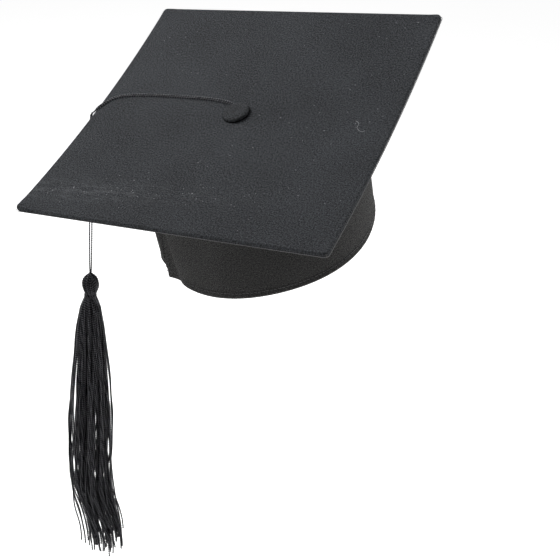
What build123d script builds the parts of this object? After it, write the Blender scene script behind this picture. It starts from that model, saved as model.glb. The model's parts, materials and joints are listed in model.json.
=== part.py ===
from build123d import *
import os
from math import cos, radians, sin, sqrt, tan

# A graduation cap, stored as it is worn: a soft crown leaning a little to the wearer's right,
# a square board with one corner to the front, and a tassel hanging straight down from a loop
# of cord hooked under the button.  Millimetres.
#
# Three frames are used.
#   row    the part's own frame: +Z is up, the wearer faces -Y, the origin is the centre of
#          the head opening.  Hanging things are drawn here.
#   cap    the row frame leant over with the cap.  Its Z runs from the rim up to the board.
#   board  the cap frame moved up to the board and turned 45 degrees about Z.  Its origin is
#          the middle of the plane through the board's front and back edges, X is straight
#          across the board and Y is the way that the board is dished.

# ---- Driving dimensions -----------------------------------------------------------------

LEAN = 23.3              # degrees, to the wearer's right
NOD = 8.6                # degrees, forward

# Crown: an oval of two round ends joined by short straights, leaning as it rises.
RIM_RADIUS = 83.0
TOP_RADIUS = 85.0
OVAL_STRAIGHT = 32.0
CROWN_TOP = (7.5, 4.0)   # the middle of the crown's top, off the middle of its rim
SIDE_SEAM_Y = -16.0      # where the front panel meets the back panel
CLOTH = 1.0              # the crown's cloth, felled double
STIFFENER = 1.0
BAND = 0.9

# Board: a card core between two cloth covers, dished by use.
BOARD_SIDE = 241.0
BOARD_CORNER = 3.0
CORE_THICK = 2.0
COVER_THICK = 0.5
BOARD_DISH = 6.5         # how far the middle line lies under the front and back edges
BOARD_AT = (4.5, 6.0, 91.0)
TOP_PANEL = 0.8          # the crown's own top, flat under the board

# Button, on a shank through the board.
BUTTON_AT = (1.0, 3.0)
BUTTON_RADIUS = 9.5
BUTTON_NECK = 2.0        # gap under the button, where the cord hooks in
BUTTON_COVER = 0.5
SHELL_HEIGHT = 2.6
BACK_PLATE = 0.6
SHANK_RADIUS = 1.7
WASHER_RADIUS = 6.0
WASHER_THICK = 0.7

# Stitches round the rim.
STITCH_HEIGHT = 5.2
STITCH_PITCH = 3.1
STITCH_SIZE = (2.0, 0.5, 0.3)

# Tassel cord: one cord, doubled, hooked round the shank.
STRAND = 0.6             # radius of one strand
STRAND_APART = 0.85      # from the pair's middle line to each strand
CORD_LIFT = 1.0          # strand's middle above the board's cloth
LOOP_RADIUS = 3.2        # half the width of its turn round the shank
# The pair's middle line, from the shank to the board's right-hand edge (board frame).
CORD_ROUTE = [(-3.5, 11.0), (-15.0, 16.2), (-36.0, 17.8), (-60.0, 17.6), (-84.0, 16.6),
              (-103.0, 14.4), (-113.0, 10.8), (-118.6, 4.6), (-121.9, -2.2)]
EDGE_AT = (-123.6, -8.8)  # where the cord turns down outside the board's edge
EDGE_LIFT = 0.8           # that turn's height over the cloth's level there
EDGE_TAIL = 4.0           # how far the loop's own stretch hangs past the turn
SWING_GAP = 1.2           # slack left in the solids at each free joint

# Tassel, measured down from the board's edge.
TASSEL_TOP = 141.0
HEAD_LENGTH = 22.5
HEAD_RADIUS = 6.9
NECK_RADIUS = 5.4
WRAP_LENGTH = 4.2
WRAP_THICK = 0.9
CORE_RADIUS = 3.6
# The skirt's outside: distance under the neck wrap, radius.
SKIRT = [(0.0, 5.6), (12.0, 9.0), (30.0, 11.6), (62.0, 13.4), (88.0, 15.4), (112.0, 17.0),
         (150.0, 19.0), (190.0, 19.6), (250.0, 19.2), (282.0, 18.6)]
SKIRT_WALL = 2.8

# ---- Worked out from these --------------------------------------------------------------

HALF = BOARD_SIDE / 2
BOARD_THICK = CORE_THICK + 2 * COVER_THICK
DISH_RADIUS = (HALF ** 2 + BOARD_DISH ** 2) / (2 * BOARD_DISH)
BELOW = 60.0             # reach of the cutting blocks, larger than anything they cut
WORN = Location((0, 0, 0), (NOD, -LEAN, 0))
BOARD = Location(BOARD_AT, (0, 0, -45))
LOCAL_BOARD = WORN * BOARD


def cloth_height(y):
    """Height of the board's cloth at y, against the plane of its front and back edges."""
    return DISH_RADIUS - BOARD_DISH - sqrt(DISH_RADIUS ** 2 - y ** 2)


def on_board(x, y, lift):
    """A point over the board's cloth, in the row frame."""
    return (LOCAL_BOARD * Pos(x, y, cloth_height(y) + lift)).position


def board_slab(side, corner, down, thick):
    """A square slab that follows the dish, its top face `down` under the board's top."""
    radius = DISH_RADIUS + down
    across = Plane((0, 0, DISH_RADIUS - BOARD_DISH), x_dir=(0, 1, 0), z_dir=(1, 0, 0))
    ring = across * (Circle(radius + thick) - Circle(radius))
    prism = extrude(RectangleRounded(side, side, corner), BELOW, both=True)
    return extrude(ring, side, both=True) & prism


def oval(height, inset):
    """The crown's outline at a height over the rim, `inset` inside its outer face."""
    part_way = height / BOARD_AT[2]
    radius = RIM_RADIUS + (TOP_RADIUS - RIM_RADIUS) * part_way - inset
    middle = Pos(CROWN_TOP[0] * part_way, CROWN_TOP[1] * part_way, height)
    return middle * SlotCenterToCenter(OVAL_STRAIGHT, 2 * radius, rotation=90)


def crown_block(inset, low=0.0, high=BOARD_AT[2]):
    return loft([oval(low, inset), oval(high, inset)], ruled=True)


def crown_ring(outer, thick, low=0.0, high=BOARD_AT[2]):
    return crown_block(outer, low, high) - crown_block(outer + thick, low, high)


def slice_y(shape, low, high):
    """Keep what lies between two planes across the cap frame's Y."""
    middle = Pos(0, (low + high) / 2, BOARD_AT[2] / 2)
    return shape & (middle * Box(4 * RIM_RADIUS, high - low, 2 * BOARD_AT[2]))


def under_board(shape, gap):
    """Cut off what reaches higher than `gap` under the board."""
    return shape - BOARD * board_slab(BOARD_SIDE + BELOW, 1, -BELOW / 2, BELOW / 2 + BOARD_THICK + gap)


# ---- Board and button -------------------------------------------------------------------

def button_hole():
    return Pos(*BUTTON_AT) * Cylinder(SHANK_RADIUS, 2 * BELOW)


def board_parts():
    inside = BOARD_SIDE - 2 * COVER_THICK
    core = board_slab(inside, BOARD_CORNER, COVER_THICK, CORE_THICK)
    bottom = board_slab(inside, BOARD_CORNER, COVER_THICK + CORE_THICK, COVER_THICK)
    top = board_slab(BOARD_SIDE, BOARD_CORNER, 0, BOARD_THICK)
    top -= board_slab(inside, BOARD_CORNER, COVER_THICK, BOARD_THICK)
    parts = {"board_core": core, "board_top_cover": top, "board_bottom_cover": bottom}
    return {name: LOCAL_BOARD * (shape - button_hole()) for name, shape in parts.items()}


def dome(radius, rise, low):
    """A shallow dome on a short straight side, its foot at `low`."""
    arch = rise * 0.6
    ball = (radius ** 2 + arch ** 2) / (2 * arch)
    return (Pos(0, 0, low + rise / 2) * Cylinder(radius, rise)) & (Pos(0, 0, low + rise - ball) * Sphere(ball))


def button_parts():
    cloth = cloth_height(BUTTON_AT[1])
    plate_low = cloth + BUTTON_NECK
    under = cloth - BOARD_THICK
    inner = BUTTON_RADIUS - BUTTON_COVER
    shell_outer = dome(inner, SHELL_HEIGHT + BACK_PLATE, plate_low)
    shell_inner = dome(inner - 0.5, SHELL_HEIGHT + BACK_PLATE - 0.5, plate_low)
    plate = Pos(0, 0, plate_low + BACK_PLATE / 2) * Cylinder(inner - 0.5, BACK_PLATE)
    cover = dome(BUTTON_RADIUS, SHELL_HEIGHT + BACK_PLATE + BUTTON_COVER, plate_low) - shell_outer
    shank_low = under - WASHER_THICK
    shank = Pos(0, 0, (shank_low + plate_low) / 2) * Cylinder(SHANK_RADIUS, plate_low - shank_low)
    washer = Cylinder(WASHER_RADIUS, WASHER_THICK) - Cylinder(SHANK_RADIUS, WASHER_THICK)
    washer = Pos(0, 0, under - WASHER_THICK / 2) * washer
    washer &= Pos(-BUTTON_AT[0], -BUTTON_AT[1], 0) * board_slab(
        BOARD_SIDE, BOARD_CORNER, BOARD_THICK, 2 * WASHER_THICK)
    parts = {
        "button_cover": cover,
        "button_shell": shell_outer - shell_inner,
        "button_back_plate": plate,
        "button_shank": shank,
        "button_washer": washer,
    }
    place = LOCAL_BOARD * Pos(*BUTTON_AT)
    return {name: place * shape for name, shape in parts.items()}


# ---- Crown ------------------------------------------------------------------------------

def crown_parts():
    back_end = RIM_RADIUS + OVAL_STRAIGHT
    front_end = -back_end - TOP_RADIUS
    wall = under_board(crown_ring(0, CLOTH), 0)
    top = under_board(crown_block(CLOTH), 0) - under_board(crown_block(CLOTH), TOP_PANEL)
    top -= BOARD * (Pos(*BUTTON_AT) * Cylinder(WASHER_RADIUS + 1, 2 * BELOW))
    inner = CLOTH + STIFFENER
    stiff_z = (8.0, 76.0)
    seam_half = 5.0
    seam_z = (30.0, 70.0)
    elastic_z = (5.0, 22.0)
    tapes = slice_y(crown_ring(CLOTH, 0.6, *seam_z), SIDE_SEAM_Y - seam_half, SIDE_SEAM_Y + seam_half)
    label = crown_ring(CLOTH, 0.4, 44.0, 62.0)
    parts = {
        "crown_top_panel": top,
        "crown_front_panel": slice_y(wall, front_end, SIDE_SEAM_Y),
        "crown_back_panel": slice_y(wall, SIDE_SEAM_Y, back_end * 2),
        "front_stiffener": slice_y(crown_ring(CLOTH, STIFFENER, *stiff_z), front_end,
                                   SIDE_SEAM_Y - seam_half - 1),
        "sweatband": slice_y(crown_ring(inner, BAND, 0.5, 30.0), front_end, SIDE_SEAM_Y - 1),
        "elastic_band": slice_y(crown_ring(CLOTH, BAND, *elastic_z), SIDE_SEAM_Y + 8, back_end * 2),
        "elastic_casing": slice_y(crown_ring(inner, BAND, 1.0, 27.0), SIDE_SEAM_Y + 4, back_end * 2),
        "side_seam_allowances": tapes,
        "care_label": label & (Pos(2, back_end, 53) * Box(32, 60, 40)),
    }
    return {name: WORN * shape for name, shape in parts.items()}


def rim_stitches():
    """Short thread segments lying on the cloth all round the rim."""
    outline = oval(STITCH_HEIGHT, -STITCH_SIZE[2] / 2 - 0.08).face().outer_wire()
    count = round(outline.length / STITCH_PITCH)
    stitches = []
    for index in range(count):
        spot = outline.position_at(index / count)
        along = outline.tangent_at(index / count)
        place = Plane(spot, x_dir=along, z_dir=(0, 0, 1))
        stitches.append(place * Box(STITCH_SIZE[0], STITCH_SIZE[2], STITCH_SIZE[1]))
    return {"rim_stitches": WORN * Compound(children=stitches)}


# ---- Cord -------------------------------------------------------------------------------

def corner_radii(points):
    """The largest arc that each corner's two runs leave room for."""
    radii = []
    for before, at, after in zip(points, points[1:], points[2:]):
        first = at - before
        second = after - at
        turn = radians(first.get_angle(second))
        radii.append(0.45 * min(first.length, second.length) / tan(turn / 2))
    return radii


def tube(name, points):
    """A round cord through the points, its corners eased by tangent arcs."""
    radii = corner_radii(points)
    path = FilletPolyline(*points, radius=radii) if radii else Line(*points)
    start = path.position_at(0)
    section = Plane(start, z_dir=path.tangent_at(0)) * Circle(STRAND)
    solid = sweep(section, path=path)
    ideal = 3.14159265 * STRAND ** 2 * path.length
    print(name, "length", round(path.length, 1), "radii", [round(r, 1) for r in radii],
          "volume", round(solid.volume, 2), "of", round(ideal, 2))
    return solid


def beside(route, side):
    """The strand beside the pair's middle line, to its left or its right."""
    strand = []
    ends = [route[0]] + route + [route[-1]]
    for before, at, after in zip(ends, route, ends[2:]):
        along = Vector(after[0] - before[0], after[1] - before[1]).normalized()
        strand.append((at[0] - side * along.Y * STRAND_APART, at[1] + side * along.X * STRAND_APART))
    return strand


def edge_point():
    """Where the pair's middle line starts to hang, in the row frame."""
    return on_board(*EDGE_AT, EDGE_LIFT)


def edge_direction():
    """Level direction along the board's edge, which sets the two strands apart."""
    along = on_board(EDGE_AT[0], 0, 0) - on_board(EDGE_AT[0], 50, 0)
    return Vector(along.X, along.Y, 0).normalized()


def loop_points():
    """The doubled cord from one edge turn, round the shank, to the other."""
    button = Vector(*BUTTON_AT)
    away = (Vector(*CORD_ROUTE[0]) - button).normalized()
    left = Vector(-away.Y, away.X)
    corners = [button + (left - away) * LOOP_RADIUS, button - (left + away) * LOOP_RADIUS]
    spots = beside(CORD_ROUTE, 1)[::-1] + [(at.X, at.Y) for at in corners] + beside(CORD_ROUTE, -1)
    over_board = [on_board(x, y, CORD_LIFT) for x, y in spots]
    apart = edge_direction() * STRAND_APART
    first = edge_point() + apart
    last = edge_point() - apart
    down = Vector(0, 0, -EDGE_TAIL)
    return [first + down, first] + over_board + [last, last + down]


def cord_parts():
    edge = edge_point()
    apart = edge_direction() * STRAND_APART
    top = edge + Vector(0, 0, -EDGE_TAIL - SWING_GAP)
    bottom = edge + Vector(0, 0, -TASSEL_TOP + SWING_GAP)
    parts = {"cord_on_board": tube("cord_on_board", loop_points())}
    for name, side in (("hanging_strand_a", 1), ("hanging_strand_b", -1)):
        parts[name] = tube(name, [top + apart * side, bottom + apart * side * 0.8])
    return parts


# ---- Tassel -----------------------------------------------------------------------------

def turned(points):
    """A solid of revolution about Z from an outline of (radius, height)."""
    outline = Spline(*points) + Polyline(points[-1], (0, points[-1][1]), (0, points[0][1]), points[0])
    return revolve(Plane.XZ * make_face(outline), Axis.Z)


def tassel_parts():
    head_low = -HEAD_LENGTH
    wrap_low = head_low - WRAP_LENGTH
    head = turned([(1.6, 0), (HEAD_RADIUS * 0.8, -3.4), (HEAD_RADIUS, -10.5),
                   (HEAD_RADIUS * 0.93, -16.5), (NECK_RADIUS, head_low)])
    neck = Pos(0, 0, (head_low + wrap_low) / 2) * Cylinder(NECK_RADIUS, WRAP_LENGTH)
    core = Pos(0, 0, -10.5) * Sphere(CORE_RADIUS)
    wrap = Pos(0, 0, (head_low + wrap_low) / 2) * (
        Cylinder(NECK_RADIUS + WRAP_THICK, WRAP_LENGTH) - Cylinder(NECK_RADIUS, WRAP_LENGTH))
    outer = turned([(radius, wrap_low - down) for down, radius in SKIRT])
    skirt_low = wrap_low - SKIRT[-1][0]
    inside = SKIRT[2:-1] + [(SKIRT[-1][0] - SKIRT_WALL, SKIRT[-1][1])]
    hollow = [(radius - SKIRT_WALL, wrap_low - down) for down, radius in inside]
    skirt = outer - turned(hollow)
    parts = {
        "tassel_head": head + neck - core,
        "tassel_core_knot": core,
        "tassel_neck_wrap": wrap,
        "tassel_skirt": skirt,
    }
    place = Pos(*(edge_point() - Vector(0, 0, TASSEL_TOP)))
    print("tassel from", place.position, "to", place.position.Z + skirt_low)
    return {name: place * shape for name, shape in parts.items()}


# ---- Everything -------------------------------------------------------------------------

os.makedirs("parts", exist_ok=True)
nodes = {}
for make in (board_parts, button_parts, crown_parts, rim_stitches, cord_parts, tassel_parts):
    nodes.update(make())
for name, shape in nodes.items():
    export_step(shape, f"parts/{name}.step")
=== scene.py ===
import json
import random
from math import asin, atan2, ceil, cos, pi, radians, sin

import bpy
import numpy as np
from mathutils import Matrix, Vector


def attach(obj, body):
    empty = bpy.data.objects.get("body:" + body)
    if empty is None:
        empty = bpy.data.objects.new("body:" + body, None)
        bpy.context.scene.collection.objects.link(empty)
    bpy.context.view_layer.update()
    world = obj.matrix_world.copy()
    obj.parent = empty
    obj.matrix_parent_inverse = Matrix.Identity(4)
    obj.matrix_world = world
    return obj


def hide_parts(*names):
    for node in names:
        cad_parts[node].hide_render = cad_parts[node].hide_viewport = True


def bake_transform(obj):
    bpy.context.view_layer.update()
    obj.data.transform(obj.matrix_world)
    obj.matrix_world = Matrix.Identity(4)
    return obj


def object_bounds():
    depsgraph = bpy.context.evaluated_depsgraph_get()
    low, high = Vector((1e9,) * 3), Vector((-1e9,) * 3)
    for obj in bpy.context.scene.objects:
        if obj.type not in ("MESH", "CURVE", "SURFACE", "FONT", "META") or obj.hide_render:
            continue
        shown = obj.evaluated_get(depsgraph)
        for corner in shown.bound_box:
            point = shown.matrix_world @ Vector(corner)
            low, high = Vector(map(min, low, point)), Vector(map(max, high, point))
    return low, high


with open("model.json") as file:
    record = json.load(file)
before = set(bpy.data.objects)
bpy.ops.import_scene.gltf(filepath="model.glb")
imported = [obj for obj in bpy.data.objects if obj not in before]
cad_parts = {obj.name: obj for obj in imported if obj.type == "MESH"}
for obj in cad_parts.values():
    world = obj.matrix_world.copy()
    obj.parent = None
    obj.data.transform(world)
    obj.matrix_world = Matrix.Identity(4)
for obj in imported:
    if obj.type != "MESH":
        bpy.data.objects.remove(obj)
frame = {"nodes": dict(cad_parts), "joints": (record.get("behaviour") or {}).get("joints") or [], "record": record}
cad_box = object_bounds()

MM = 0.001
chance = random.Random(7)

# ---- Sizes, millimetres: the CAD's own, and drawn shapes where the cloth or yarn differs --

RIM_RADIUS = 83.0
OVAL_STRAIGHT = 32.0
RIM_OVAL = (2.1, -4.0, 83.7, 95.6)       # the worn rim: middle x and y, half width, half length
TOP_OVAL = (11.6, 3.8, 80.6, 99.0)       # the same where the crown meets the board
BOARD_AT = (4.5, 6.0, 91.0)
BOARD_SIDE = 241.0
BOARD_THICK = 3.0
BOARD_DISH = 6.5
BOARD_TWIST = 2.0        # how far the card has warped out of a plain dish at its corners
BUTTON_AT = (1.0, 3.0)
BUTTON_NECK = 2.0
BUTTON_TILT = 2.0        # degrees; the cord lets it sit a little crooked
STITCH_HEIGHT = 5.2
STITCH_PITCH = 3.1
STRAND = 0.68            # the drawn strand's outer radius, over the ridges of its plies
STRAND_APART = 0.85
CORD_LIFT = 0.9
LOOP_RADIUS = 3.2
CORD_ROUTE = [(-3.5, 11.0), (-15.0, 16.2), (-36.0, 17.8), (-60.0, 17.6), (-84.0, 16.6),
              (-103.0, 14.4), (-113.0, 10.8), (-118.6, 4.6), (-121.9, -2.2)]
EDGE_AT = (-123.6, -8.8)
EDGE_SETTLE = 2.0        # how far the tassel's weight draws the cord in over the board near its edge
EDGE_SNUG = 1.2          # the same for the hanging stretch, at its top
TASSEL_TOP = 141.0
HEAD = [(2.8, 0.9), (4.4, 2.5), (6.6, 4.9), (9.2, 6.6), (12.6, 7.3), (16.0, 7.0), (19.5, 5.9), (22.5, 4.6)]
HEAD_LENGTH = 22.5
WRAP_LENGTH = 4.2
WRAP_RADIUS = 5.9
SKIRT = [(0.0, 4.9), (4.0, 6.6), (12.0, 9.2), (30.0, 11.6), (62.0, 13.4), (88.0, 15.4), (112.0, 17.0),
         (150.0, 19.0), (190.0, 19.6), (250.0, 19.2), (282.0, 18.6)]

HALF = BOARD_SIDE / 2
DISH_RADIUS = (HALF ** 2 + BOARD_DISH ** 2) / (2 * BOARD_DISH)

# ---- Frames ------------------------------------------------------------------------------

mounts = {mount["name"]: mount for mount in frame["record"]["mounts"]}
down_crown = Vector(mounts["head_opening"]["axis"])
LEAN = asin(down_crown.x)
NOD = atan2(down_crown.y, -down_crown.z)
CAP = Matrix.Rotation(NOD, 4, "X") @ Matrix.Rotation(-LEAN, 4, "Y")
BOARD = CAP @ Matrix.Translation(BOARD_AT) @ Matrix.Rotation(radians(-45), 4, "Z")
pivots = {joint["name"]: Vector(joint["pos_m"]) for joint in frame["joints"]}


def cloth_height(x, y):
    """Height of the board's top cloth, against the plane of its front and back edges."""
    dish = DISH_RADIUS - BOARD_DISH - np.sqrt(DISH_RADIUS ** 2 - np.square(y))
    return dish + BOARD_TWIST * x * y / HALF ** 2


def placed(matrix, points):
    """Points in millimetres of a local frame, as metres in the row frame."""
    points = np.asarray(points, float)
    turn = np.array(matrix.to_3x3())
    return (points @ turn.T + np.array(matrix.translation)) * MM


def on_board(x, y, lift):
    return Vector(placed(BOARD, [(x, y, float(cloth_height(x, y)) + lift)])[0])


# ---- Mesh helpers ------------------------------------------------------------------------

def mesh_object(name, points, faces, uvs=None, material=None, smooth=True):
    """A mesh from points in metres, with one UV per vertex."""
    mesh = bpy.data.meshes.new(name)
    mesh.from_pydata([tuple(p) for p in points], [], faces)
    if uvs is not None:
        layer = mesh.uv_layers.new(name="UVMap")
        order = np.zeros(len(mesh.loops), int)
        mesh.loops.foreach_get("vertex_index", order)
        layer.data.foreach_set("uv", np.asarray(uvs, float)[order].ravel())
    mesh.polygons.foreach_set("use_smooth", [smooth] * len(mesh.polygons))
    mesh.update()
    piece = bpy.data.objects.new(name, mesh)
    bpy.context.scene.collection.objects.link(piece)
    if material:
        mesh.materials.append(material)
    return piece


def grid_faces(rows, columns, closed=False, start=0, flip=False):
    """Quads over a grid of vertices stored row by row."""
    faces = []
    last = columns if closed else columns - 1
    for row in range(rows - 1):
        for column in range(last):
            after = (column + 1) % columns
            quad = (start + row * columns + column, start + row * columns + after,
                    start + (row + 1) * columns + after, start + (row + 1) * columns + column)
            faces.append(quad[::-1] if flip else quad)
    return faces


def apply_modifiers(piece):
    """Bake every modifier into the mesh."""
    bpy.context.view_layer.update()
    graph = bpy.context.evaluated_depsgraph_get()
    done = bpy.data.meshes.new_from_object(piece.evaluated_get(graph))
    piece.modifiers.clear()
    piece.data = done
    return piece


def thicken(piece, thickness, offset=-1.0):
    solid = piece.modifiers.new("thickness", "SOLIDIFY")
    solid.thickness = thickness * MM
    solid.offset = offset
    return apply_modifiers(piece)


def smoothstep(low, high, value):
    part = np.clip((np.asarray(value, float) - low) / (high - low), 0, 1)
    return part * part * (3 - 2 * part)


def waves(value, seed, count, low, high):
    """A smooth irregular ripple: a few sines with random lengths and starts."""
    source = random.Random(seed)
    total = np.zeros_like(np.asarray(value, float))
    for _ in range(count):
        total = total + np.sin(np.asarray(value) * source.uniform(low, high) + source.uniform(0, 2 * pi))
    return total / count


# ---- Tubes and twisted yarn --------------------------------------------------------------

def frames_along(points):
    """Tangent, side and up at each point, turned as little as possible on the way."""
    tangents = np.gradient(points, axis=0)
    tangents /= np.linalg.norm(tangents, axis=1)[:, None]
    side = np.cross(tangents[0], (0.31, 0.22, 0.93))
    side /= np.linalg.norm(side)
    sides = []
    for tangent in tangents:
        side = side - tangent * (side @ tangent)
        side = side / np.linalg.norm(side)
        sides.append(side)
    sides = np.array(sides)
    return tangents, sides, np.cross(tangents, sides)


def even_steps(points, step):
    """The same line with points a step apart."""
    points = np.asarray(points, float)
    lengths = np.concatenate([[0], np.cumsum(np.linalg.norm(np.diff(points, axis=0), axis=1))])
    count = max(3, int(ceil(lengths[-1] / step)) + 1)
    wanted = np.linspace(0, lengths[-1], count)
    return np.stack([np.interp(wanted, lengths, points[:, k]) for k in range(3)], 1), wanted


class Bundle:
    """Gathers many tubes into one mesh."""

    def __init__(self):
        self.points = []
        self.faces = []
        self.uvs = []
        self.count = 0

    def tube(self, line, radius, sides, distance=None, outward=None):
        line = np.asarray(line)
        along, side, up = frames_along(line)
        if outward is not None:
            side = outward
            up = np.cross(along, side)
        angles = np.arange(sides) * 2 * pi / sides
        radius = np.broadcast_to(radius, len(line))
        ring = side[:, None] * np.cos(angles)[None, :, None] + up[:, None] * np.sin(angles)[None, :, None]
        rings = line[:, None] + ring * np.asarray(radius)[:, None, None]
        start = self.count
        rows = len(line)
        self.points.append(rings.reshape(-1, 3))
        self.faces += grid_faces(rows, sides, closed=True, start=start, flip=True)
        self.faces.append(tuple(range(start, start + sides)))
        self.faces.append(tuple(range(start + (rows - 1) * sides, start + rows * sides))[::-1])
        along = np.zeros(rows) if distance is None else np.asarray(distance)
        # second UV coordinate: 0 on the outward face of the ply, 1 on its inner side; the yarn material paints
        # shade by it
        painted_groove_shade = (1 - np.cos(angles)) / 2
        uv = np.stack(np.broadcast_arrays(along[:, None], painted_groove_shade[None]), -1)
        self.uvs.append(uv.reshape(-1, 2))
        self.count += rows * sides

    def twisted(self, line, radius, plies, pitch, sides=5, step=0.6, start_angle=0.0, ease=0.0):
        """A yarn of several plies laid round each other, all in metres."""
        line, distance = even_steps(line, step)
        _, side, up = frames_along(line)
        ply_radius = radius * (0.5 if plies == 2 else 0.47)
        ring_radius = radius - ply_radius
        narrow = np.ones(len(line))
        if ease:
            narrow = np.clip((distance[-1] - distance) / ease + 0.35, 0, 1)
        for ply in range(plies):
            angle = 2 * pi * (distance / pitch + ply / plies) + start_angle
            offset = side * np.cos(angle)[:, None] + up * np.sin(angle)[:, None]
            self.tube(line + offset * (ring_radius * narrow)[:, None], ply_radius * narrow, sides,
                      distance + start_angle * pitch, offset)

    def build(self, name, material):
        points = np.concatenate(self.points)
        return mesh_object(name, points, self.faces, np.concatenate(self.uvs), material)


def nurbs_line(name, points):
    """The smooth line of a route, read from its NURBS spline."""
    curve = bpy.data.curves.new(name, "CURVE")
    curve.dimensions = "3D"
    curve.resolution_u = 16
    spline = curve.splines.new("NURBS")
    spline.points.add(len(points) - 1)
    for control, point in zip(spline.points, points):
        control.co = (*point, 1)
    spline.order_u = 3
    spline.use_endpoint_u = True
    holder = bpy.data.objects.new(name, curve)
    bpy.context.scene.collection.objects.link(holder)
    line = bpy.data.meshes.new_from_object(holder)
    found = [tuple(vertex.co) for vertex in line.vertices]
    bpy.data.objects.remove(holder)
    return np.array(found)


# ---- Materials ---------------------------------------------------------------------------

class Shader:
    """A short way to write a node material."""

    def __init__(self, name, color, roughness, **sockets):
        self.material = bpy.data.materials.new(name)
        self.material.use_nodes = True
        self.material.diffuse_color = (*color, 1)
        self.tree = self.material.node_tree
        self.shader = self.tree.nodes["Principled BSDF"]
        self.shader.inputs["Base Color"].default_value = (*color, 1)
        self.shader.inputs["Roughness"].default_value = roughness
        for socket, value in sockets.items():
            self.shader.inputs[socket.replace("_", " ")].default_value = value

    def node(self, kind, inputs=None, **settings):
        node = self.tree.nodes.new(kind)
        for setting, value in settings.items():
            setattr(node, setting, value)
        for socket, value in (inputs or {}).items():
            if isinstance(value, bpy.types.NodeSocket):
                self.tree.links.new(value, node.inputs[socket])
            else:
                node.inputs[socket].default_value = value
        return node

    def link(self, output, socket):
        self.tree.links.new(output, self.shader.inputs[socket])

    def math(self, operation, first, second=0.0):
        return self.node("ShaderNodeMath", {0: first, 1: second}, operation=operation).outputs[0]

    def mix(self, factor, first, second):
        node = self.node("ShaderNodeMix", {0: factor}, data_type="RGBA")
        for socket, value in ((node.inputs[6], first), (node.inputs[7], second)):
            if isinstance(value, bpy.types.NodeSocket):
                self.tree.links.new(value, socket)
            else:
                socket.default_value = (*value, 1)
        return node.outputs[2]

    def noise(self, vector, scale, detail=3.0, roughness=0.55):
        return self.node("ShaderNodeTexNoise", {"Vector": vector, "Scale": scale, "Detail": detail,
                                                "Roughness": roughness}).outputs["Fac"]

    def ramp(self, value, low, high, start=0.0, end=1.0):
        return self.node("ShaderNodeMapRange", {"Value": value, "From Min": low, "From Max": high,
                                                "To Min": start, "To Max": end}).outputs[0]

    def bump(self, height, strength, distance, under=None):
        inputs = {"Height": height, "Strength": strength, "Distance": distance}
        if under is not None:
            inputs["Normal"] = under
        return self.node("ShaderNodeBump", inputs).outputs[0]

    def uv(self):
        return self.node("ShaderNodeTexCoord").outputs["UV"]

    def place(self):
        return self.node("ShaderNodeTexCoord").outputs["Object"]


def weave(shader, vector, thread):
    """Height of a plain weave whose threads are `thread` metres apart."""
    split = shader.node("ShaderNodeSeparateXYZ", {"Vector": vector})
    turns = 2 * pi / (2 * thread)
    waves_x = shader.math("SINE", shader.math("MULTIPLY", split.outputs[0], turns))
    waves_y = shader.math("SINE", shader.math("MULTIPLY", split.outputs[1], turns))
    crossing = shader.math("MULTIPLY", waves_x, waves_y)
    return shader.math("ABSOLUTE", crossing)


def cloth(name, dark, light, roughness=0.82, sheen=0.1, tint=(0.85, 0.9, 1.0), thread=0.00045,
          specks=0.0, dusty=False):
    """Woven cloth: threads, slubs, patchy wear and, where asked, caught lint."""
    shader = Shader(name, dark, roughness, Sheen_Weight=sheen, Sheen_Roughness=0.45,
                    Sheen_Tint=(*tint, 1), Specular_IOR_Level=0.2)
    uv = shader.uv()
    fine = shader.noise(uv, 900, 2, 0.85)
    grain = shader.noise(uv, 380, 3, 0.6)
    broad = shader.noise(uv, 16, 3, 0.5)
    share = shader.math("ADD", shader.math("MULTIPLY", fine, 0.68),
                        shader.math("ADD", shader.math("MULTIPLY", grain, 0.14),
                                    shader.math("MULTIPLY", broad, 0.18)))
    share = shader.ramp(share, 0.43, 0.57)
    color = shader.mix(share, dark, light)
    threads = weave(shader, uv, thread)
    color = shader.mix(shader.math("MULTIPLY", threads, 0.35), color, tuple(c * 0.45 for c in dark))
    if dusty:
        spot = shader.node("ShaderNodeSeparateXYZ", {"Vector": uv})
        across = shader.math("ADD", shader.math("MULTIPLY", spot.outputs[0], -0.09), spot.outputs[1])
        off = shader.math("ABSOLUTE", shader.math("ADD", across, 0.086))
        band = shader.ramp(off, 0.016, 0.0)
        ends = shader.ramp(spot.outputs[0], 0.07, -0.06)
        streak = shader.node("ShaderNodeMapping", {"Vector": uv, "Scale": (70, 260, 1)}).outputs[0]
        patchy = shader.ramp(shader.noise(streak, 1.0, 4, 0.7), 0.46, 0.78)
        dust = shader.math("MULTIPLY", shader.math("MULTIPLY", band, ends), patchy)
        color = shader.mix(shader.math("MULTIPLY", dust, 0.5), color, (0.17, 0.175, 0.18))
    if specks:
        dots = shader.node("ShaderNodeTexVoronoi", {"Vector": uv, "Scale": 150.0}).outputs["Distance"]
        gate = shader.noise(uv, 55, 2, 0.6)
        near = shader.ramp(dots, 0.085, 0.03)
        some = shader.ramp(gate, 0.60, 0.66)
        lint = shader.math("MULTIPLY", shader.math("MULTIPLY", near, some), specks)
        color = shader.mix(lint, color, (0.34, 0.35, 0.37))
    shader.link(color, "Base Color")
    height = shader.math("ADD", threads, shader.math("MULTIPLY", fine, 0.8))
    normal = shader.bump(shader.math("ADD", grain, broad), 0.2, 0.0004)
    shader.link(shader.bump(height, 0.9, 0.0004, normal), "Normal")
    shader.link(shader.ramp(fine, 0.38, 0.62, 0.0, sheen * 2), "Sheen Weight")
    shader.link(shader.ramp(grain, 0.3, 0.7, roughness - 0.08, roughness + 0.08), "Roughness")
    return shader.material


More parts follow.
